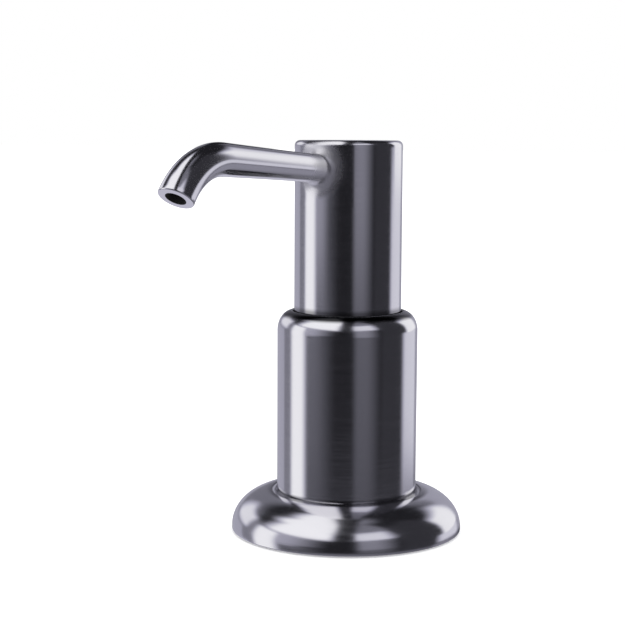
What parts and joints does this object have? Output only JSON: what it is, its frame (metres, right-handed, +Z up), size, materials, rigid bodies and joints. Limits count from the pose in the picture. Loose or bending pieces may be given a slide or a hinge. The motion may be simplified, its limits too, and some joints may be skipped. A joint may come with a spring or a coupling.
{
  "type": "soap pump dispenser",
  "caption": "Deck-mounted soap pump dispenser with a domed flange, a straight collar and a press-down head whose slim spout bends down to the outlet.",
  "frame": {"origin": "centre of the deck hole, in the plane of the gasket's underside, where the dispenser stands on the sink deck", "axes": "+Z up along the pump's axis; the spout points along -Y at rest"},
  "size_m": [0.054, 0.0931, 0.0915],
  "materials": {
    "brushed_steel": "finely brushed satin stainless steel",
    "spring_steel": "bright drawn stainless spring steel",
    "white_acetal": "moulded white acetal, satin",
    "black_acetal": "moulded black acetal, satin",
    "grey_polypropylene": "moulded grey polypropylene, matte",
    "natural_polyethylene": "natural polyethylene, satin",
    "black_rubber": "moulded black rubber, matte"
  },
  "bodies": {
    "base": {"flange": "brushed_steel", "deck_gasket": "black_rubber", "foot_seal": "black_rubber", "collar": "brushed_steel", "guide_ring": "black_acetal"},
    "cartridge": {"pump_housing": "grey_polypropylene", "housing_o_ring": "black_rubber", "pump_cylinder": "natural_polyethylene", "cylinder_gasket": "black_rubber", "closure_cap": "white_acetal", "stem_wiper": "black_rubber", "spring_washer": "spring_steel", "inlet_ball_cage": "white_acetal", "return_spring": "spring_steel"},
    "inlet_ball": {"inlet_ball": "spring_steel"},
    "plunger": {"piston": "white_acetal", "piston_cup_seal": "black_rubber", "pump_stem": "white_acetal"},
    "outlet_ball": {"outlet_ball": "spring_steel"},
    "head": {"head_insert": "white_acetal", "socket_o_ring": "black_rubber", "outlet_liner": "natural_polyethylene", "spout": "brushed_steel", "head_shell": "brushed_steel"}
  },
  "joints": [
    {"name": "pump_lift", "type": "slide", "parent": "base", "child": "cartridge", "axis": [0, 0, 1], "range_m": [0, 0.045]},
    {"name": "inlet_ball_lift", "type": "slide", "parent": "cartridge", "child": "inlet_ball", "axis": [0, 0, 1], "range_m": [0, 0.0009]},
    {"name": "pump_press", "type": "slide", "parent": "cartridge", "child": "plunger", "axis": [0, 0, -1], "range_m": [0, 0.012], "stiffness_N_per_m": 600, "springref_m": -0.01, "deforming": ["return_spring"]},
    {"name": "outlet_ball_lift", "type": "slide", "parent": "plunger", "child": "outlet_ball", "axis": [0, 0, 1], "range_m": [0, 0.0009]},
    {"name": "spout_swivel", "type": "hinge", "parent": "plunger", "child": "head", "pos_m": [0, 0, 0.0653], "axis": [0, 0, 1], "continuous": true}
  ]
}
